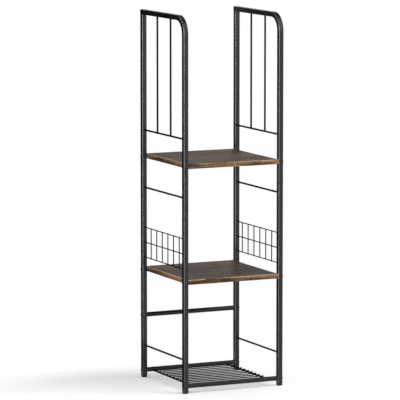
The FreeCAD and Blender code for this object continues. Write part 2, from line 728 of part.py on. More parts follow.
def build_bottom_shelf():
    """Shelf rails, wire deck, rear brace and the bolts and end nuts that hold the tubes."""
    cross_tube = ("Sizes.cross_tube_diameter", "Layout.cross_bore", "2 * Layout.inner_x")
    end_nut = ("Layout.cross_bore - 2 * Sizes.thread_clearance", "Layout.thread_bore", "Sizes.insert_length")
    rail_height = "Sizes.shelf_rail_height"
    front = place(ring("front_shelf_rail", *cross_tube), "-Layout.inner_x", "-Layout.post_y", rail_height)
    node(front, "front_shelf_rail")
    node(mirrored(front, MIRROR_Y, "rear_shelf_rail"), "rear_shelf_rail")
    nut = place(ring("shelf_rail_nut", *end_nut), "-Layout.inner_x", "-Layout.post_y", rail_height)
    four_corners("shelf_rail_nuts", nut)
    screw = place(bolt("shelf_rail_bolt"), "-Sizes.rack_width / 2", "-Layout.post_y", rail_height)
    four_corners("shelf_rail_bolts", screw)
    deck = place(wire_deck("wire_deck"), "-Layout.bearer_x", "-Layout.post_y", "Layout.bearer_z")
    node(deck, "wire_deck")
    height = "Sizes.brace_height"
    node(place(ring("rear_brace", *cross_tube), "-Layout.inner_x", "Layout.post_y", height), "rear_brace")
    brace_nut = place(ring("brace_nut", *end_nut), "-Layout.inner_x", "Layout.post_y", height)
    left_and_right("brace_nuts", brace_nut)
    brace_screw = place(bolt("brace_bolt"), "-Sizes.rack_width / 2", "Layout.post_y", height)
    left_and_right("brace_bolts", brace_screw)


def check_document():
    """Stop if a feature failed, a cut removed nothing or a piece is not a sound solid."""
    for item in doc.Objects:
        if {"Invalid", "Error"} & set(item.State):
            raise RuntimeError(f"{item.Label} failed: {item.State}")
        if item.TypeId == "PartDesign::Pocket" and item.Shape.Volume >= item.BaseFeature.Shape.Volume:
            raise RuntimeError(f"{item.Label} cuts nothing")
    for piece in nodes:
        if piece.Shape.isNull() or not piece.Shape.isValid() or not piece.Shape.Solids:
            raise RuntimeError(f"{piece.Label} is not a sound solid")


build_side_frames()
build_boards()
build_bottom_shelf()
doc.recompute()
check_document()
os.makedirs("parts", exist_ok=True)
for piece in nodes:
    piece.Shape.exportStep(f"parts/{piece.Label}.step")
    print(f"{piece.Label}: {len(piece.Shape.Solids)} solid(s), {piece.Shape.Volume:.0f} mm3")
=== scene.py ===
"""Looks of a free-standing towel storage rack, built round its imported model.

Metres. X runs to the right, Y to the back and Z up. The origin is on the floor, under the rack's middle.
"""
import json
import logging
import math
from dataclasses import dataclass
from enum import Enum

import bmesh
import bpy
import numpy as np
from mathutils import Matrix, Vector


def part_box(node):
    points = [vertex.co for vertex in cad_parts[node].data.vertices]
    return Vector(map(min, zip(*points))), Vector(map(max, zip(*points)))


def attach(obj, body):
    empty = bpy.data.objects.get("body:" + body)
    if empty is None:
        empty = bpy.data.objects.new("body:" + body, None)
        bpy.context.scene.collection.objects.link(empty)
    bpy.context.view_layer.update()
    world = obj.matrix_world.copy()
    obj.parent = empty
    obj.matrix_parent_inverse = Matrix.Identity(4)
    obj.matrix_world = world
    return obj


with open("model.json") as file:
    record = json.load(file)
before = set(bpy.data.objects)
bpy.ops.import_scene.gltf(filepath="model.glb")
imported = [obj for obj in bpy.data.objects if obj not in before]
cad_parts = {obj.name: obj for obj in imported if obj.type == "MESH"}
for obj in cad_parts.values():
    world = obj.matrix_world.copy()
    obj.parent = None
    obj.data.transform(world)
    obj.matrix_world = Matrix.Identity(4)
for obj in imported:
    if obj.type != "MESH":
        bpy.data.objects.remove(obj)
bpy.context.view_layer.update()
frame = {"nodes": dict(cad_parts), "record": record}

LOG = logging.getLogger("towel_rack")
BODY = "root"
MERGE_DISTANCE = 1e-7
RIPPLE_PHASE = 2.4
WALL_BEAD_STEPS = (28, 7)
SADDLE_BEAD_STEPS = (32, 10)
LENS_BEAD_STEPS = (16, 9)
SLOT_OF = {row["node"]: row["material_slot"] for row in frame["record"]["subparts"]}
SQUARE_TUBES = [piece for name, piece in frame["nodes"].items() if name.endswith(("_tube", "_post"))]

Colour = tuple[float, float, float]
Triple = tuple[float, float, float]
Pair = tuple[float, float]
Socket = bpy.types.NodeSocket
Fed = float | tuple[float, ...] | Socket
Inputs = dict[str | int, Fed]
Stops = tuple[tuple[float, Colour], ...]
Patch = tuple[np.ndarray, np.ndarray]
Coats = dict[str, bpy.types.Material]


class Side(Enum):
    """The two side frames, by the sign of X on their side."""

    LEFT = -1
    RIGHT = 1

    @property
    def label(self) -> str:
        """The side's word in node names."""
        return self.name.lower()


class Tier(Enum):
    """The two boards."""

    UPPER = "upper"
    LOWER = "lower"


class Grain(Enum):
    """The axis that the grain of a wood finish follows, as the turn that brings it onto X."""

    ALONG_X = (0.0, 0.0, 0.0)
    ALONG_Y = (0.0, 0.0, -math.pi / 2)


@dataclass(frozen=True)
class Layer:
    """A layer of noise: features per metre along each axis, detail, roughness and the soft step on it."""

    grain: Triple
    detail: float
    rough: float = 0.5
    step: Pair = (0.0, 1.0)


class Graph:
    """Adds nodes to one shader tree; its methods give back the output socket of what they add."""

    def __init__(self, tree: bpy.types.NodeTree) -> None:
        """Keep the tree to add to.

        Args:
            tree: The shader tree of a material, a world or a group.
        """
        self.tree = tree

    def feed(self, socket: Socket, value: Fed) -> None:
        """Link a socket into an input, or set the input's own value.

        Args:
            socket: The input.
            value: The socket to link, or the value to set.
        """
        if isinstance(value, bpy.types.NodeSocket):
            self.tree.links.new(value, socket)
        else:
            socket.default_value = value

    def node(self, kind: str, inputs: Inputs | None = None, **settings: object) -> bpy.types.Node:
        """Add a node.

        Args:
            kind: The node's type name.
            inputs: Values or sockets for its inputs, by name or number.
            **settings: Values for its own properties.

        Returns:
            The new node.
        """
        made = self.tree.nodes.new(kind)
        for name, value in settings.items():
            setattr(made, name, value)
        for name, value in (inputs or {}).items():
            self.feed(made.inputs[name], value)
        return made

    def math(self, operation: str, first: Fed, second: Fed = 0.0) -> Socket:
        """One sum, product or other operation on two values."""
        return self.node("ShaderNodeMath", {0: first, 1: second}, operation=operation).outputs[0]

    def weighted(self, *terms: tuple[Socket, float]) -> Socket:
        """Sum of several values.

        Args:
            *terms: Each value with its weight.

        Returns:
            The sum.
        """
        total, *others = [self.math("MULTIPLY", value, weight) for value, weight in terms]
        for other in others:
            total = self.math("ADD", total, other)
        return total

    def scaled(self, vector: Socket, scale: Triple) -> Socket:
        """A vector stretched along each axis."""
        return self.node("ShaderNodeVectorMath", {0: vector, 1: scale}, operation="MULTIPLY").outputs[0]

    def noise(self, vector: Socket, layer: Layer) -> Socket:
        """A layer's noise from 0 to 1, without its soft step.

        Args:
            vector: The place on the surface, in metres.
            layer: The layer.

        Returns:
            The noise.
        """
        inputs = {"Vector": self.scaled(vector, layer.grain), "Scale": 1.0}
        inputs |= {"Detail": layer.detail, "Roughness": layer.rough}
        return self.node("ShaderNodeTexNoise", inputs).outputs[0]

    def patchy(self, vector: Socket, layer: Layer) -> Socket:
        """A layer's noise after its soft step."""
        return self.smooth(self.noise(vector, layer), *layer.step)

    def smooth(self, value: Fed, low: float, high: float) -> Socket:
        """A soft step.

        Args:
            value: The value that is stepped.
            low: Where the step gives 0; it may be the larger one.
            high: Where it gives 1.

        Returns:
            The step, from 0 to 1.
        """
        inputs = {"Value": value, "From Min": min(low, high), "From Max": max(low, high)}
        inputs |= {"To Min": float(low > high), "To Max": float(low <= high)}
        return self.node("ShaderNodeMapRange", inputs, interpolation_type="SMOOTHSTEP").outputs[0]

    def between(self, share: Fed, low: float, high: float) -> Socket:
        """The value at a share of the way from low to high."""
        inputs = {"Value": share, "To Min": low, "To Max": high}
        return self.node("ShaderNodeMapRange", inputs).outputs[0]

    def mix(self, share: Fed, first: Fed, second: Fed) -> Socket:
        """Mix of two colours.

        Args:
            share: How far to go from the first colour to the second, from 0 to 1.
            first: The first colour.
            second: The second colour.

        Returns:
            The mixed colour.
        """
        node = self.node("ShaderNodeMix", data_type="RGBA")
        for index, value in ((0, share), (6, first), (7, second)):
            self.feed(node.inputs[index], (*value, 1.0) if isinstance(value, tuple) else value)
        return node.outputs[2]

    def ramp(self, value: Socket, stops: Stops) -> Socket:
        """Colour from a row of stops.

        Args:
            value: The place in the row, from 0 to 1.
            stops: Places and colours of the stops.

        Returns:
            The colour.
        """
        node = self.node("ShaderNodeValToRGB", {0: value})
        elements = node.color_ramp.elements
        while len(elements) < len(stops):
            elements.new(1.0)
        for element, (position, colour) in zip(elements, stops):
            element.position = position
            element.color = (*colour, 1.0)
        return node.outputs[0]


class Effect:
    """A surface effect that several finishes share, kept as one shader node group."""

    title: str = ""
    outputs: tuple[str, ...] = ()

    def __init__(self) -> None:
        """Build the group once: a Vector input, the effect's nodes, and its named value outputs."""
        tree = bpy.data.node_groups.new(self.title, "ShaderNodeTree")
        tree.interface.new_socket(name="Vector", in_out="INPUT", socket_type="NodeSocketVector")
        for name in self.outputs:
            tree.interface.new_socket(name=name, in_out="OUTPUT", socket_type="NodeSocketFloat")
        graph = Graph(tree)
        given = graph.node("NodeGroupInput")
        graph.node("NodeGroupOutput", dict(zip(self.outputs, self.wire(graph, given.outputs["Vector"]))))
        self.tree = tree

    def wire(self, graph: Graph, vector: Socket) -> tuple[Socket, ...]:
        """Add the effect's nodes; each effect has its own.

        Args:
            graph: The group's tree.
            vector: The place on the surface, in metres.

        Returns:
            One socket for each name in outputs.
        """
        raise NotImplementedError

    def place(self, graph: Graph, vector: Socket) -> dict[str, Socket]:
        """Put the effect into a material.

        Args:
            graph: The material's graph.
            vector: The place on the surface, in metres.

        Returns:
            The effect's outputs by name.
        """
        node = graph.node("ShaderNodeGroup", node_tree=self.tree)
        graph.feed(node.inputs["Vector"], vector)
        return {name: node.outputs[name] for name in self.outputs}


class CoatSkin(Effect):
    """Skin of a sprayed coat or a moulded black part: slow shade, handling marks and orange peel."""

    title = "coat_skin"
    outputs = ("Shade", "Marks", "Height")
    shade = Layer((9.0, 9.0, 6.0), 3.0, 0.6, (0.3, 0.7))
    marks = Layer((38.0, 38.0, 13.0), 4.0, 0.62, (0.48, 0.74))
    peel = Layer((330.0, 330.0, 330.0), 1.0)
    sand = Layer((1500.0, 1500.0, 1500.0), 1.0)
    peel_share = 0.7
    sand_share = 0.3

    def wire(self, graph: Graph, vector: Socket) -> tuple[Socket, ...]:
        """Slow noise for the shade, stretched noise for the marks, two fine ones for the peel.

        Args:
            graph: The group's tree.
            vector: The place on the surface, in metres.

        Returns:
            Shade, marks and height.
        """
        peel = graph.noise(vector, self.peel)
        sand = graph.noise(vector, self.sand)
        height = graph.weighted((peel, self.peel_share), (sand, self.sand_share))
        return graph.patchy(vector, self.shade), graph.patchy(vector, self.marks), height


class WoodFigure(Effect):
    """Printed rustic wood, grain along X: wandering lines, dark streaks, knots, pores and saw marks."""

    title = "wood_figure"
    outputs = ("Tone", "Streak", "Knot", "Weather", "Smoke", "Fleck", "Height")
    wander = Layer((2.4, 6.0, 6.0), 3.0, 0.55)
    broad = Layer((3.0, 42.0, 42.0), 4.0, 0.6, (0.32, 0.68))
    fine = Layer((11.0, 300.0, 300.0), 3.0, 0.6, (0.3, 0.7))
    saw = Layer((240.0, 9.0, 9.0), 2.0, 0.5, (0.3, 0.7))
    streak = Layer((8.0, 100.0, 100.0), 4.0, 0.6, (0.54, 0.66))
    weather = Layer((3.2, 12.0, 12.0), 4.0, 0.6, (0.42, 0.68))
    pores = Layer((60.0, 1300.0, 1300.0), 1.0, 0.5, (0.6, 0.42))
    smoke = Layer((6.0, 16.0, 16.0), 3.0, 0.6, (0.48, 0.62))
    fleck = Layer((170.0, 330.0, 330.0), 2.0, 0.55, (0.49, 0.57))
    tone_shares = (0.52, 0.34, 0.14)
    height_shares = (0.6, 0.4)
    wander_reach = 0.07
    knot_cells = (3.1, 8.0, 8.0)
    knot_step = (0.2, 0.03)
    pull_step = (0.5, 0.0)
    pull_reach = 0.022
    ring_turns = 75.0
    ring_wander = 9.0
    ring_depth = 0.22

    def wire(self, graph: Graph, vector: Socket) -> tuple[Socket, ...]:
        """Noise drawn out along X, shifted across by a slow wander and by the pull of each knot.

        Args:
            graph: The group's tree.
            vector: The place on the surface, in metres.

        Returns:
            Tone, streak, knot, weather, smoke, fleck and height.
        """
        inputs = {"Vector": graph.scaled(vector, self.knot_cells), "Scale": 1.0}
        heart = graph.node("ShaderNodeTexVoronoi", inputs).outputs["Distance"]
        pull = graph.smooth(heart, *self.pull_step)
        wander = graph.noise(vector, self.wander)
        shift = graph.weighted((wander, self.wander_reach), (pull, self.pull_reach))
        offset = graph.node("ShaderNodeCombineXYZ", {"Y": shift, "Z": shift}).outputs[0]
        bent = graph.node("ShaderNodeVectorMath", {0: vector, 1: offset}, operation="ADD").outputs[0]
        fine = graph.patchy(bent, self.fine)
        lines = (graph.patchy(bent, self.broad), fine, graph.patchy(vector, self.saw))
        tone = graph.weighted(*zip(lines, self.tone_shares))
        wave = graph.math("SINE", graph.weighted((heart, self.ring_turns), (wander, self.ring_wander)))
        rings = graph.math("ADD", graph.math("MULTIPLY", wave, self.ring_depth), 1.0 - self.ring_depth)
        knot = graph.math("MULTIPLY", graph.smooth(heart, *self.knot_step), rings)
        height = graph.weighted(*zip((graph.patchy(bent, self.pores), fine), self.height_shares))
        streak, fleck = graph.patchy(bent, self.streak), graph.patchy(bent, self.fleck)
        weather, smoke = graph.patchy(vector, self.weather), graph.patchy(vector, self.smoke)
        return tone, streak, knot, weather, smoke, fleck, height


class Finish:
    """What all finishes share: a fresh material with one Principled shader on Object coordinates."""

    name: str

    def begin(
        self, specular: float, metallic: float = 0.0
    ) -> tuple[bpy.types.Material, Graph, bpy.types.Node, Socket]:
        """Start a material.

        Args:
            specular: Specular level of the shader, the same all over.
            metallic: Metallic value of the shader, the same all over.

        Returns:
            The material, its graph, its Principled shader and the Object coordinates.
        """
        material = bpy.data.materials.new(self.name)
        material.use_nodes = True
        graph = Graph(material.node_tree)
        shader = material.node_tree.nodes["Principled BSDF"]
        shader.inputs["Specular IOR Level"].default_value = specular
        shader.inputs["Metallic"].default_value = metallic
        return material, graph, shader, graph.node("ShaderNodeTexCoord").outputs["Object"]


@dataclass(frozen=True)
class CoatFinish(Finish):
    """Sprayed coat, plated skin or moulded plastic."""

    name: str
    deep: Colour
    pale: Colour
    rough: Pair
    specular: float
    bump: float
    metallic: float = 0.0
    relief: float = 0.00012
    sheen_tint: Colour = (1.0, 1.0, 1.0)

    def material(self, skin: CoatSkin) -> bpy.types.Material:
        """Make the material.

        Args:
            skin: The shared effect that it is built on.

        Returns:
            The material.
        """
        material, graph, shader, place = self.begin(self.specular, self.metallic)
        shader.inputs["Specular Tint"].default_value = (*self.sheen_tint, 1.0)
        surface = skin.place(graph, place)
        graph.feed(shader.inputs["Base Color"], graph.mix(surface["Shade"], self.deep, self.pale))
        graph.feed(shader.inputs["Roughness"], graph.between(surface["Marks"], *self.rough))
        inputs = {"Height": surface["Height"], "Strength": self.bump, "Distance": self.relief}
        graph.feed(shader.inputs["Normal"], graph.node("ShaderNodeBump", inputs).outputs[0])
        return material


@dataclass(frozen=True)
class WoodFinish(Finish):
    """Printed wood on a board's faces or on its edge bands; the bands' pale upper arris line is print wear
    and a painted highlight.
    """

    name: str
    grain: Grain
    stops: Stops
    streak: Colour
    knot: Colour
    weathered: Colour
    weather_share: float
    smoke_share: float
    flecks: Pair
    rough: Pair
    start: Triple = (0.0, 0.0, 0.0)
    # Colour of the pale upper arris line: print wear and a painted highlight
    worn: Colour | None = None
    tops: tuple[float, ...] = ()
    specular: float = 0.14
    bump: float = 0.35
    relief: float = 0.0003
    streak_share: float = 0.85
    rub_line: Pair = (0.0022, 0.0006)
    rub_tone: Pair = (0.25, 0.6)

    def material(self, figure: WoodFigure) -> bpy.types.Material:
        """Make the material.

        Args:
            figure: The shared effect that it is built on.

        Returns:
            The material.
        """
        material, graph, shader, place = self.begin(self.specular)
        inputs = {"Vector": place, "Rotation": self.grain.value, "Location": self.start}
        turned = graph.node("ShaderNodeMapping", inputs).outputs[0]
        wood = figure.place(graph, turned)
        colour = graph.ramp(wood["Tone"], self.stops)
        pale = graph.math("MULTIPLY", wood["Weather"], self.weather_share)
        colour = graph.mix(pale, colour, self.weathered)
        colour = graph.mix(graph.math("MULTIPLY", wood["Smoke"], self.smoke_share), colour, self.streak)
        colour = graph.mix(graph.math("MULTIPLY", wood["Streak"], self.streak_share), colour, self.streak)
        flecked = graph.math("MULTIPLY", wood["Fleck"], graph.between(wood["Smoke"], *self.flecks))
        colour = graph.mix(flecked, colour, self.streak)
        colour = graph.mix(wood["Knot"], colour, self.knot)
        # Pale line along the upper arris: print wear and a painted highlight
        if self.worn:
            colour = graph.mix(self.rubbed(graph, place, wood["Tone"]), colour, self.worn)
        graph.feed(shader.inputs["Base Color"], colour)
        graph.feed(shader.inputs["Roughness"], graph.between(wood["Tone"], *self.rough))
        inputs = {"Height": wood["Height"], "Strength": self.bump, "Distance": self.relief}
        graph.feed(shader.inputs["Normal"], graph.node("ShaderNodeBump", inputs).outputs[0])
        return material

    def rubbed(self, graph: Graph, place: Socket, tone: Socket) -> Socket:
        """Mask of the pale line along the upper arris of the boards: print wear and a painted highlight of
        the arris.

        Args:
            graph: The material's graph.
            place: Object coordinates.
            tone: The wood's tone, which breaks the line up.

        Returns:
            The mask, 1 on the pale line.
        """
        height = graph.node("ShaderNodeSeparateXYZ", {"Vector": place}).outputs["Z"]
        gaps = [graph.math("ABSOLUTE", graph.math("SUBTRACT", height, top)) for top in self.tops]
        nearest = gaps[0]
        for gap in gaps[1:]:
            nearest = graph.math("MINIMUM", nearest, gap)
        line = graph.smooth(nearest, *self.rub_line)
        return graph.math("MULTIPLY", line, graph.smooth(tone, *self.rub_tone))


def closed_patches(points: np.ndarray, wrap_across: bool) -> Patch:
    """Vertices and faces of many like patches at once.

    Args:
        points: Array of n patches, u points round, v points across and 3 coordinates. Point (i, j, k) is
            vertex (i u + j) v + k, and each face joins (j, k), (j + 1, k), (j + 1, k + 1) and (j, k + 1).
        wrap_across: Whether the last point across joins the first; round, it always does.

    Returns:
        The vertices, and the faces as four vertex numbers each.
    """
    count, around, across, _ = points.shape
    index = np.arange(count * around * across).reshape(count, around, across)
    ahead = np.roll(index, -1, axis=1)
    faces = np.stack([index, ahead, np.roll(ahead, -1, axis=2), np.roll(index, -1, axis=2)], axis=-1)
    if not wrap_across:
        faces = faces[:, :, :-1]
    return points.reshape(-1, 3), faces.reshape(-1, 4)


def piece_from(name: str, patches: list[Patch]) -> bpy.types.Object:
    """One smooth piece from several sets of vertices and faces, with poles merged and faces turned outwards.

    Args:
        name: The piece's name.
        patches: Vertices and faces of each set.

    Returns:
        The object, riding on the rack.
    """
    starts = np.cumsum([0] + [len(vertices) for vertices, _ in patches[:-1]])
    vertices = np.concatenate([vertices for vertices, _ in patches])
    faces = np.concatenate([faces + start for (_, faces), start in zip(patches, starts)])
    mesh = bpy.data.meshes.new(name)
    mesh.from_pydata(vertices.tolist(), [], faces.tolist())
    work = bmesh.new()
    work.from_mesh(mesh)
    bmesh.ops.remove_doubles(work, verts=work.verts, dist=MERGE_DISTANCE)
    bmesh.ops.recalc_face_normals(work, faces=work.faces)
    work.to_mesh(mesh)
    work.free()
    mesh.polygons.foreach_set("use_smooth", np.ones(len(mesh.polygons), dtype=bool))
    piece = bpy.data.objects.new(name, mesh)
    bpy.context.scene.collection.objects.link(piece)
    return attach(piece, BODY)


def ripple(count: int, angle: np.ndarray) -> np.ndarray:
    """Uneven swelling of weld beads: 1 + 0.10 cos(2a + f) + 0.07 cos(9a + 2f), f being a bead's own phase.

    Args:
        count: How many beads.
        angle: Angles a round a bead, 1 by u.

    Returns:
        Factors on the bead's size, count by u.
    """
    phase = RIPPLE_PHASE * np.arange(count)[:, None]
    slow = 0.10 * np.cos(2 * angle + phase)
    return 1 + slow + 0.07 * np.cos(9 * angle + 2 * phase)


def wall_beads(feet: np.ndarray, axes: np.ndarray, radius: float, leg: float) -> Patch:
    """Weld beads round rods that end square on a flat wall.

    At angle a round the rod and b across the bead, a point is r - e + (w + e) cos(b)^p from the rod's axis
    and -e + (w + e) sin(b)^p above the wall, for b from 0 to a right angle; the last point of the section is
    (r - e, -e), inside the metal. The leg w is the nominal leg times the ripple, e how far the bead is sunk.

    Args:
        feet: Where the rods' axes meet the wall, n by 3.
        axes: Unit vectors from the wall along the rods, n by 3.
        radius: The rods' radius.
        leg: The bead's nominal leg.

    Returns:
        Vertices and faces.
    """
    sunk = 0.0004
    power = 1.35
    upright = 0.9
    around, across = WALL_BEAD_STEPS
    angle = np.linspace(0, 2 * np.pi, around, endpoint=False)[None, :]
    turn = np.linspace(0, np.pi / 2, across)
    width = leg * ripple(len(feet), angle)
    out = radius - sunk + (width[..., None] + sunk) * np.clip(np.cos(turn), 0, 1) ** power
    rise = -sunk + (width[..., None] + sunk) * np.sin(turn) ** power
    corner = np.ones_like(out[..., :1])
    out = np.concatenate([out, corner * (radius - sunk)], axis=2)
    rise = np.concatenate([rise, corner * -sunk], axis=2)
    helper = np.where(np.abs(axes[:, 2:]) > upright, [[1.0, 0.0, 0.0]], [[0.0, 0.0, 1.0]])
    first = np.cross(axes, helper)
    second = np.cross(axes, first)
    radial = np.cos(angle)[..., None] * first[:, None] + np.sin(angle)[..., None] * second[:, None]
    points = feet[:, None, None] + out[..., None] * radial[:, :, None]
    points = points + rise[..., None] * axes[:, None, None]
    return closed_patches(points, wrap_across=True)


@dataclass(frozen=True)
class Saddle:
    """How a bar stands on a round rod: both radii, the offset between the axes and the bead's radius."""

    bar: float
    rod: float
    offset: float
    bead: float


def saddle_beads(centres: np.ndarray, along_bar: np.ndarray, along_rod: np.ndarray, fit: Saddle) -> Patch:
    """Weld beads where bars stand on a round rod.

    The bead's middle line at angle a is (o + r cos a) across, r sin a along the rod and the root of
    R^2 - (o + r cos a)^2 along the bar. Round it runs a circle of the bead's radius times the ripple, in the
    plane of the bar's axis and the radius at a.

    Args:
        centres: Points on the rod's axis, n by 3.
        along_bar: Unit vectors from the rod along the bars, n by 3.
        along_rod: Unit vectors along the rod, n by 3.
        fit: The joint's sizes.

    Returns:
        Vertices and faces.
    """
    steps_round, steps_across = SADDLE_BEAD_STEPS
    angle = np.linspace(0, 2 * np.pi, steps_round, endpoint=False)[None, :]
    turn = np.linspace(0, 2 * np.pi, steps_across, endpoint=False)
    sideways = np.cross(along_rod, along_bar)
    across = fit.offset + fit.bar * np.cos(angle)
    rise = np.sqrt(np.clip(fit.rod**2 - across**2, 0, None))
    radial = np.cos(angle)[..., None] * sideways[:, None] + np.sin(angle)[..., None] * along_rod[:, None]
    middle = centres[:, None] + fit.offset * sideways[:, None] + fit.bar * radial
    middle = middle + rise[..., None] * along_bar[:, None]
    thick = fit.bead * ripple(len(centres), angle)[..., None, None]
    ring = np.cos(turn)[:, None] * radial[:, :, None] + np.sin(turn)[:, None] * along_bar[:, None, None]
    return closed_patches(middle[:, :, None] + thick * ring, wrap_across=True)


def lens_beads(centres: np.ndarray, half_sizes: Triple) -> Patch:
    """Squeezed-out metal at spot welds: ellipsoids, c + (A cos a cos b, B sin a cos b, C sin b).

    Args:
        centres: Middles of the welds, n by 3.
        half_sizes: Half the size along X, Y and Z.

    Returns:
        Vertices and faces.
    """
    around, across = LENS_BEAD_STEPS
    angle = np.linspace(0, 2 * np.pi, around, endpoint=False)[:, None]
    rise = np.linspace(-np.pi / 2, np.pi / 2, across)[None, :]
    level = np.cos(rise)
    shape = np.stack([np.cos(angle) * level, np.sin(angle) * level, np.sin(rise) + 0 * angle], axis=-1)
    points = centres[:, None, None] + shape * np.asarray(half_sizes)
    return closed_patches(points, wrap_across=False)


def middle_of(node: str) -> np.ndarray:
    """Middle of a node's box."""
    low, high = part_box(node)
    return np.array((low + high) / 2)


def paint(nodes: list[str], material: bpy.types.Material) -> None:
    """Give CAD nodes one material.

    Args:
        nodes: Names of the nodes.
        material: The material.
    """
    for name in nodes:
        piece = frame["nodes"][name]
        piece.data.materials.clear()
        piece.data.materials.append(material)
        LOG.info("dressed %s in %s", name, material.name)


class SubAssembly:
    """Part of the rack: its CAD nodes, the pieces it adds and the finish of both."""

    def nodes(self) -> list[str]:
        """Names of the CAD nodes that belong to it."""
        raise NotImplementedError

    def build(self, coats: Coats) -> None:
        """Make the pieces that it adds to its nodes, in their finish; some add none.

        Args:
            coats: Materials by slot.
        """

    def dress(self, coats: Coats) -> None:
        """Give each CAD node the finish of its slot in the record.

        Args:
            coats: Materials by slot.
        """
        for name in self.nodes():
            paint([name], coats[SLOT_OF[name]])

    def add(self, name: str, patches: list[Patch], slot: str, coat: bpy.types.Material) -> None:
        """Make a piece that takes its finish from a slot of the record.

        Args:
            name: The piece's name.
            patches: Its vertices and faces, in sets.
            slot: Not used.
            coat: The slot's material.
        """
        piece = piece_from(name, patches)
        piece.data.materials.append(coat)
        LOG.info("built %s with %d faces", name, len(piece.data.polygons))


@dataclass
class SideFrame(SubAssembly):
    """One side: posts, top rail, rods, guard bars and wire grid, with the welds between them."""

    side: Side
    rod_leg: float = 0.0013
    wire_leg: float = 0.0009
    saddle_bead: float = 0.0008
    wire_radius: float = 0.00175
    wire_rows: int = 3
    wire_columns: int = 6
    spot_half: Triple = (0.0011, 0.0019, 0.0019)
    corner_half: Triple = (0.0066, 0.0016, 0.0016)

    def named(self, *names: str) -> list[str]:
        """Names of nodes or pieces of this side."""
        return [f"{self.side.label}_{name}" for name in names]

    def nodes(self) -> list[str]:
        """Names of the CAD nodes of this side.

        Returns:
            The names, with the side's word in front.
        """
        posts = [f"{tier}_{end}_post" for tier in ("middle", "lower") for end in ("front", "rear")]
        rods = ["guard_rod", "middle_rod", "lower_rod", "front_guard_bar", "rear_guard_bar", "wire_grid"]
        ends = ["rail_plug", "front_foot", "rear_foot"]
        return self.named("upper_front_tube", "upper_rear_post", *posts, *rods, *ends)

    def build(self, coats: Coats) -> None:
        """Make the welds of the frame and those of its grid.

        Args:
            coats: Materials by slot.
        """
        frame_name, grid_name = self.named("frame_welds", "grid_welds")
        frame_welds = [self.rod_welds(), self.bar_tops(), self.bar_feet(), self.post_top()]
        grid_welds = [self.grid_ends(), self.grid_spots()]
        self.add(frame_name, frame_welds, "tube_coat", coats["tube_coat"])
        self.add(grid_name, grid_welds, "wire_coat", coats["wire_coat"])

    def rod_welds(self) -> Patch:
        """Beads at both ends of the three rods, on the facing walls of the posts.

        Returns:
            Vertices and faces.
        """
        boxes = [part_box(name) for name in self.named("guard_rod", "middle_rod", "lower_rod")]
        low = np.array([box[0] for box in boxes])
        high = np.array([box[1] for box in boxes])
        middle = (low + high) / 2
        feet = np.concatenate([middle, middle])
        feet[:, 1] = np.concatenate([low[:, 1], high[:, 1]])
        axes = np.zeros_like(feet)
        axes[:, 1] = np.repeat([1.0, -1.0], len(boxes))
        return wall_beads(feet, axes, (high - low)[0, 0] / 2, self.rod_leg)

    def bars(self) -> tuple[np.ndarray, np.ndarray]:
        """Lowest and highest corners of the two guard bars."""
        boxes = np.array([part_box(name) for name in self.named("front_guard_bar", "rear_guard_bar")])
        return boxes[:, 0], boxes[:, 1]

    def bar_tops(self) -> Patch:
        """Beads where the guard bars meet the underside of the rail.

        Returns:
            Vertices and faces.
        """
        low, high = self.bars()
        feet = (low + high) / 2
        feet[:, 2] = high[:, 2]
        axes = np.tile([0.0, 0.0, -1.0], (len(feet), 1))
        return wall_beads(feet, axes, (high - low)[0, 0] / 2, self.rod_leg)

    def bar_feet(self) -> Patch:
        """Beads where the guard bars stand on the guard rod.

        Returns:
            Vertices and faces.
        """
        low, high = self.bars()
        centres = (low + high) / 2
        centres[:, 2] = middle_of(self.named("guard_rod")[0])[2]
        radius = (high - low)[0, 0] / 2
        up = np.tile([0.0, 0.0, 1.0], (len(centres), 1))
        back = np.tile([0.0, 1.0, 0.0], (len(centres), 1))
        return saddle_beads(centres, up, back, Saddle(radius, radius, 0.0, self.saddle_bead))

    def post_top(self) -> Patch:
        """Bead in the corner between the rear post and the underside of the rail.

        Returns:
            Vertices and faces.
        """
        low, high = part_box(self.named("upper_rear_post")[0])
        centre = np.array([[(low.x + high.x) / 2, low.y, high.z]])
        return lens_beads(centre, self.corner_half)

    def grid_lines(self) -> tuple[np.ndarray, np.ndarray, float, float]:
        """Where the axes of the grid's wires run.

        Returns:
            Heights of the long wires, Y of the uprights, X of the long wires and X of the uprights.
        """
        low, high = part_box(self.named("wire_grid")[0])
        heights = np.linspace(low.z + self.wire_radius, high.z - self.wire_radius, self.wire_rows)
        columns = np.linspace(low.y, high.y, self.wire_columns + 2)[1:-1]
        outer = max(low.x, high.x, key=abs) - self.side.value * self.wire_radius
        inner = min(low.x, high.x, key=abs) + self.side.value * self.wire_radius
        return heights, columns, outer, inner

    def grid_ends(self) -> Patch:
        """Beads at both ends of the grid's long wires.

        Returns:
            Vertices and faces.
        """
        low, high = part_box(self.named("wire_grid")[0])
        heights, _, outer, _ = self.grid_lines()
        feet = np.array([[outer, y, z] for y in (low.y, high.y) for z in heights])
        axes = np.zeros_like(feet)
        axes[:, 1] = np.repeat([1.0, -1.0], self.wire_rows)
        return wall_beads(feet, axes, self.wire_radius, self.wire_leg)

    def grid_spots(self) -> Patch:
        """Spot welds at the grid's crossings.

        Returns:
            Vertices and faces.
        """
        heights, columns, outer, inner = self.grid_lines()
        centres = np.array([[(outer + inner) / 2, y, z] for y in columns for z in heights])
        return lens_beads(centres, self.spot_half)


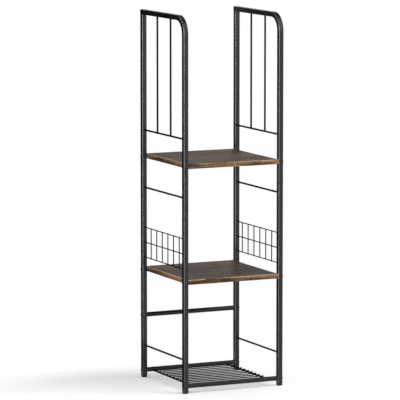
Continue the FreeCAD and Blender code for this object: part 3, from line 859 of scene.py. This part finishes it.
@dataclass
class BoardTier(SubAssembly):
    """One board with its edge bands, post connectors, inserts and bolts."""

    tier: Tier

    def nodes(self) -> list[str]:
        """Names of the CAD nodes of this board, apart from its edge bands.

        Returns:
            The names, with the board's word in front.
        """
        label = self.tier.value
        hardware = [f"{label}_{name}" for name in ("post_connectors", "board_inserts", "board_bolts")]
        return [f"{label}_board", *hardware]

    def bands(self, *sides: str) -> list[str]:
        """Names of the edge bands on some sides."""
        return [f"{self.tier.value}_board_{side}_edging" for side in sides]

    def dress(self, coats: Coats) -> None:
        """Dress the board and its hardware by slot, and the bands with the grain along each.

        Args:
            coats: Materials by slot, and those of the bands by band key.
        """
        super().dress(coats)
        paint(self.bands("front", "rear"), coats[band_key(self.tier, Grain.ALONG_X)])
        paint(self.bands("left", "right"), coats[band_key(self.tier, Grain.ALONG_Y)])


@dataclass
class BottomShelf(SubAssembly):
    """Round rails, wire deck and rear brace, with the deck's welds."""

    wires: int = 11
    bearer_radius: float = 0.003
    wire_radius: float = 0.002
    bead: float = 0.001
    spot_half: Triple = (0.0026, 0.0023, 0.0011)

    def nodes(self) -> list[str]:
        """Names of the CAD nodes of the shelf and the brace."""
        shelf = ["front_shelf_rail", "rear_shelf_rail", "shelf_rail_nuts", "shelf_rail_bolts", "wire_deck"]
        return [*shelf, "rear_brace", "brace_nuts", "brace_bolts"]

    def build(self, coats: Coats) -> None:
        """Make the welds of the deck.

        Args:
            coats: Materials by slot.
        """
        welds = [self.bearer_ends(), self.wire_spots()]
        self.add("deck_welds", welds, "wire_coat", coats["wire_coat"])

    def bearers(self) -> tuple[float, float]:
        """Distance of the bearers' axes from the middle, and their height."""
        low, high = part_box("wire_deck")
        return high.x - self.bearer_radius, low.z + self.bearer_radius

    def bearer_ends(self) -> Patch:
        """Beads where the ends of the bearers fit round the rails.

        Returns:
            Vertices and faces.
        """
        low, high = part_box("front_shelf_rail")
        rail = middle_of("front_shelf_rail")
        reach, height = self.bearers()
        corners = [(x, y) for x in (-1.0, 1.0) for y in (-1.0, 1.0)]
        centres = np.array([[x * reach, y * abs(rail[1]), rail[2]] for x, y in corners])
        along_bar = np.array([[0.0, -y, 0.0] for _, y in corners])
        along_rod = np.array([[-y, 0.0, 0.0] for _, y in corners])
        fit = Saddle(self.bearer_radius, (high.z - low.z) / 2, height - rail[2], self.bead)
        return saddle_beads(centres, along_bar, along_rod, fit)

    def wire_spots(self) -> Patch:
        """Spot welds where the cross wires lie on the bearers.

        Returns:
            Vertices and faces.
        """
        front = middle_of("front_shelf_rail")[1]
        rows = np.linspace(front, -front, self.wires + 2)[1:-1]
        reach, height = self.bearers()
        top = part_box("wire_deck")[1].z - self.wire_radius
        share = self.bearer_radius / (self.bearer_radius + self.wire_radius)
        seam = height + (top - height) * share
        centres = np.array([[x, y, seam] for x in (-reach, reach) for y in rows])
        return lens_beads(centres, self.spot_half)


@dataclass(frozen=True)
class SoftBox:
    """A rectangular studio light with a beam of so many degrees, seen or not in matt and in glossy coats."""

    name: str
    place: Triple
    aim: Triple
    size: Pair
    watts: float
    matt: bool = True
    glossy: bool = True
    beam: float = 180.0

    def hang(self) -> bpy.types.Object:
        """Make the light and turn it to its aim.

        Returns:
            The light's object.
        """
        light = bpy.data.lights.new(self.name, "AREA")
        light.shape = "RECTANGLE"
        light.size, light.size_y = self.size
        light.energy = self.watts
        light.spread = math.radians(self.beam)
        lamp = bpy.data.objects.new(self.name, light)
        lamp.location = self.place
        lamp.visible_diffuse = self.matt
        lamp.visible_glossy = self.glossy
        lamp.rotation_euler = (Vector(self.aim) - Vector(self.place)).to_track_quat("-Z", "Y").to_euler()
        bpy.context.scene.collection.objects.link(lamp)
        return lamp


@dataclass
class Studio:
    """Floor, lights, dark flag and camera."""

    eye: Triple = (-4.3677, -9.2262, 1.9186)
    yaw: float = 25.132
    pitch: float = 7.456
    lens: float = 292.5
    sensor: float = 36.0
    far: float = 200.0
    floor_half: float = 7.0
    floor_white: float = 0.86
    floor_lift: float = 0.17
    fill: float = 0.34
    ceiling: Pair = (0.25, 0.55)
    ceiling_strength: float = 0.08
    shade_middle: Triple = (-0.3, -0.08, 0.0)
    shade_stretch: Triple = (1.0, 1.5, 0.0)
    shade_reach: Pair = (0.32, 0.7)
    flag_foot: tuple[Pair, ...] = ((0.0, 0.3), (-0.2, 0.25), (-0.2, 0.0), (-0.2, -0.2))
    flag_line: tuple[Pair, ...] = ((0.0, 0.62), (-0.45, 0.55), (-0.8, 0.25), (-0.9, -0.12))
    flag_heights: Pair = (0.001, 2.401)

    def build(self) -> None:
        """Make the whole studio."""
        bpy.context.scene.view_settings.view_transform = "Standard"
        self.world()
        self.floor()
        self.flag()
        self.lights()
        self.camera()

    def seen(self, graph: Graph) -> Socket:
        """Which rays show the background: straight from the camera, mirrored or through glass.

        Args:
            graph: The graph to add to.

        Returns:
            1 for these rays and 0 for others.
        """
        path = graph.node("ShaderNodeLightPath").outputs
        mirrored = graph.math("MAXIMUM", path["Is Glossy Ray"], path["Is Transmission Ray"])
        return graph.math("MAXIMUM", path["Is Camera Ray"], mirrored)

    def world(self) -> None:
        """White walls under a dark ceiling where they are seen, and an even soft fill on the rack."""
        world = bpy.data.worlds.new("studio")
        world.use_nodes = True
        graph = Graph(world.node_tree)
        background = world.node_tree.nodes["Background"]
        background.inputs["Color"].default_value = (1.0, 1.0, 1.0, 1.0)
        ray = graph.node("ShaderNodeTexCoord").outputs["Generated"]
        rise = graph.node("ShaderNodeSeparateXYZ", {"Vector": ray}).outputs["Z"]
        room = graph.between(graph.smooth(rise, *self.ceiling), 1.0, self.ceiling_strength)
        inputs = {0: self.seen(graph), 2: self.fill, 3: room}
        strength = graph.node("ShaderNodeMix", inputs, data_type="FLOAT").outputs[0]
        graph.feed(background.inputs["Strength"], strength)
        bpy.context.scene.world = world

    def floor(self) -> None:
        """White floor that keeps the rack's shadow and runs into the white of the background."""
        half = self.floor_half
        corners = np.array([[-half, -half, 0.0], [half, -half, 0.0], [half, half, 0.0], [-half, half, 0.0]])
        mesh = bpy.data.meshes.new("floor")
        mesh.from_pydata(corners.tolist(), [], [[0, 1, 2, 3]])
        floor = bpy.data.objects.new("floor", mesh)
        bpy.context.scene.collection.objects.link(floor)
        material = bpy.data.materials.new("floor_white")
        material.use_nodes = True
        tree = material.node_tree
        tree.nodes.remove(tree.nodes["Principled BSDF"])
        graph = Graph(tree)
        place = graph.node("ShaderNodeTexCoord").outputs["Object"]
        inputs = {0: graph.scaled(place, self.shade_stretch), 1: self.shade_middle}
        reach = graph.node("ShaderNodeVectorMath", inputs, operation="DISTANCE").outputs["Value"]
        seen = self.seen(graph)
        matt = graph.node("ShaderNodeBsdfDiffuse", {"Color": (*[self.floor_white] * 3, 1.0)}).outputs[0]
        glow = graph.math("MULTIPLY", seen, self.floor_lift)
        lift = graph.node("ShaderNodeEmission", {"Strength": glow}).outputs[0]
        near = graph.node("ShaderNodeAddShader", {0: matt, 1: lift}).outputs[0]
        white = graph.node("ShaderNodeEmission", {"Strength": 1.0}).outputs[0]
        share = graph.math("MULTIPLY", graph.smooth(reach, *self.shade_reach), seen)
        ground = graph.node("ShaderNodeMixShader", {0: share, 1: near, 2: white}).outputs[0]
        graph.feed(tree.nodes["Material Output"].inputs["Surface"], ground)
        mesh.materials.append(material)

    def flag(self) -> None:
        """Dark panel behind the left side, seen only in the coat, so that faces turned to it stay black."""
        low, high = self.flag_heights
        lines = ((self.flag_foot, low), (self.flag_line, low), (self.flag_line, high))
        corners = np.array([(x, y, height) for line, height in lines for x, y in line])
        rows = np.arange(len(corners)).reshape(len(lines), -1)
        faces = np.stack([rows[:-1, :-1], rows[:-1, 1:], rows[1:, 1:], rows[1:, :-1]], axis=-1)
        mesh = bpy.data.meshes.new("dark_flag")
        mesh.from_pydata(corners.tolist(), [], faces.reshape(-1, 4).tolist())
        flag = bpy.data.objects.new("dark_flag", mesh)
        bpy.context.scene.collection.objects.link(flag)
        material = bpy.data.materials.new("flag_black")
        material.use_nodes = True
        shader = material.node_tree.nodes["Principled BSDF"]
        shader.inputs["Base Color"].default_value = (0.0, 0.0, 0.0, 1.0)
        shader.inputs["Specular IOR Level"].default_value = 0.0
        mesh.materials.append(material)
        flag.visible_camera = False
        flag.visible_diffuse = False
        flag.visible_shadow = False
        flag.visible_transmission = False

    def lights(self) -> None:
        """Soft boxes overhead, left and right, where the key is, and strips for the square tubes alone."""
        boxes = [
            SoftBox("overhead_box", (-0.3, 1.0, 3.2), (0.0, 0.0, 0.5), (1.4, 1.4), 14.0),
            SoftBox("left_box", (-1.95, -1.5, 0.38), (0.0, 0.0, 0.5), (1.5, 0.7), 56.0, glossy=False),
            SoftBox("right_key", (1.5, -1.55, 2.35), (0.0, 0.0, 0.3), (1.8, 2.5), 70.0, glossy=False),
            SoftBox("right_sheen", (1.35, -1.4, 2.15), (0.0, 0.0, 0.3), (1.6, 2.2), 26.0, matt=False),
        ]
        strips = [
            SoftBox(
                "front_strip", (-0.64, -1.15, 0.8), (-0.02, 0.0, 0.62), (1.2, 1.6), 30.0,
                matt=False, beam=54.0,
            ),
            SoftBox(
                "left_top_strip", (-1.02, -0.88, 1.95), (0.0, -0.13, 1.15), (0.7, 1.2), 75.0,
                matt=False,
            ),
            SoftBox(
                "left_over_strip", (-0.78, 0.1, 2.41), (0.0, -0.13, 1.15), (0.9, 0.9), 72.0,
                matt=False,
            ),
        ]
        for box in boxes:
            box.hang()
        tubes = bpy.data.collections.new("square_tubes")
        for piece in SQUARE_TUBES:
            tubes.objects.link(piece)
        for strip in strips:
            strip.hang().light_linking.receiver_collection = tubes

    def camera(self) -> None:
        """Camera at the photograph's angle, from its turn, tilt and lens."""
        data = bpy.data.cameras.new("camera")
        data.sensor_width = self.sensor
        data.lens = self.lens
        data.clip_end = self.far
        camera = bpy.data.objects.new("camera", data)
        camera.location = self.eye
        turn, tilt = math.radians(self.yaw), math.radians(self.pitch)
        ahead = Vector((math.sin(turn) * math.cos(tilt), math.cos(turn) * math.cos(tilt), -math.sin(tilt)))
        camera.rotation_euler = ahead.to_track_quat("-Z", "Y").to_euler()
        bpy.context.scene.collection.objects.link(camera)
        bpy.context.scene.camera = camera


# Tones of the print on the boards and on their edge bands, dark to pale
BOARD_STOPS = (
    (0.15, (0.017, 0.009, 0.004)),
    (0.38, (0.054, 0.029, 0.013)),
    (0.60, (0.105, 0.059, 0.028)),
    (0.85, (0.190, 0.118, 0.063)),
)
EDGE_STOPS = (
    (0.15, (0.026, 0.013, 0.006)),
    (0.38, (0.090, 0.046, 0.019)),
    (0.60, (0.170, 0.093, 0.041)),
    (0.85, (0.270, 0.165, 0.086)),
)
# Where each edge band's stretch of the print starts
BAND_STARTS = {
    (Tier.UPPER, Grain.ALONG_X): (10.999, 0.0, 26.297),
    (Tier.LOWER, Grain.ALONG_X): (27.937, 0.0, 11.679),
    (Tier.UPPER, Grain.ALONG_Y): (27.849, 0.0, 11.709),
    (Tier.LOWER, Grain.ALONG_Y): (7.108, 0.0, 24.354),
}


def band_key(tier: Tier, grain: Grain) -> str:
    """Key of the material of a board's bands with one way of the grain."""
    return f"edge_band {tier.value} {grain.name}"


COATS = {
    "tube_coat": CoatFinish(
        "black_tube_coat", deep=(0.0027, 0.0030, 0.0034), pale=(0.0043, 0.0047, 0.0052), rough=(0.30, 0.36),
        specular=0.36, bump=0.03, sheen_tint=(0.93, 0.965, 1.0),
    ),
    "wire_coat": CoatFinish(
        "black_wire_coat", deep=(0.0035, 0.0036, 0.0038), pale=(0.0060, 0.0061, 0.0064), rough=(0.52, 0.62),
        specular=0.1, bump=0.05,
    ),
    "cap_plastic": CoatFinish(
        "black_cap_plastic", deep=(0.0060, 0.0060, 0.0062), pale=(0.0100, 0.0100, 0.0102),
        rough=(0.48, 0.60), specular=0.35, bump=0.12,
    ),
    "connector_plastic": CoatFinish(
        "grey_plug_plastic", deep=(0.040, 0.040, 0.041), pale=(0.055, 0.055, 0.056), rough=(0.5, 0.62),
        specular=0.4, bump=0.12,
    ),
    "bolt_black": CoatFinish(
        "black_bolt_plating", deep=(0.010, 0.010, 0.011), pale=(0.022, 0.022, 0.023), rough=(0.32, 0.46),
        specular=0.5, bump=0.04, metallic=0.6,
    ),
    "zinc_steel": CoatFinish(
        "zinc_plating", deep=(0.48, 0.48, 0.46), pale=(0.62, 0.62, 0.60), rough=(0.28, 0.42),
        specular=0.5, bump=0.04, metallic=1.0,
    ),
}
BOARD = WoodFinish(
    "rustic_board", Grain.ALONG_X, BOARD_STOPS, streak=(0.018, 0.011, 0.007), knot=(0.012, 0.007, 0.005),
    weathered=(0.135, 0.098, 0.068), weather_share=0.45, smoke_share=0.45, flecks=(0.15, 0.7),
    rough=(0.44, 0.58),
)


def make_bands(figure: WoodFigure) -> Coats:
    """Make the materials of the edge bands, each with its own stretch of the print.

    Args:
        figure: The shared wood effect.

    Returns:
        Materials by band key.
    """
    tops = tuple(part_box(f"{tier.value}_board")[1].z for tier in Tier)
    bands = {}
    for (tier, grain), start in BAND_STARTS.items():
        # The pale arris line on each band is print wear and a painted highlight
        band = WoodFinish(
            f"{tier.value}_band_{grain.name.lower()}", grain, EDGE_STOPS, streak=(0.026, 0.015, 0.009),
            knot=(0.016, 0.010, 0.006), weathered=(0.200, 0.135, 0.085), weather_share=0.4, smoke_share=0.55,
            flecks=(0.3, 0.9), rough=(0.38, 0.52), start=start, worn=(0.420, 0.310, 0.220), tops=tops,
            specular=0.08,
        )
        bands[band_key(tier, grain)] = band.material(figure)
    return bands


def make_coats() -> Coats:
    """Make every material.

    Returns:
        Materials by slot of the record, and those of the edge bands by band key.
    """
    skin = CoatSkin()
    figure = WoodFigure()
    coats = {slot: finish.material(skin) for slot, finish in COATS.items()}
    coats["board_laminate"] = BOARD.material(figure)
    return coats | make_bands(figure)


def main() -> None:
    """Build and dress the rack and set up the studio."""
    logging.basicConfig(level=logging.INFO, format="%(name)s: %(message)s")
    coats = make_coats()
    parts: list[SubAssembly] = [SideFrame(side) for side in Side]
    parts += [BoardTier(tier) for tier in Tier]
    parts.append(BottomShelf())
    for part in parts:
        part.build(coats)
        part.dress(coats)
    Studio().build()


if __name__ == "__main__":
    main()
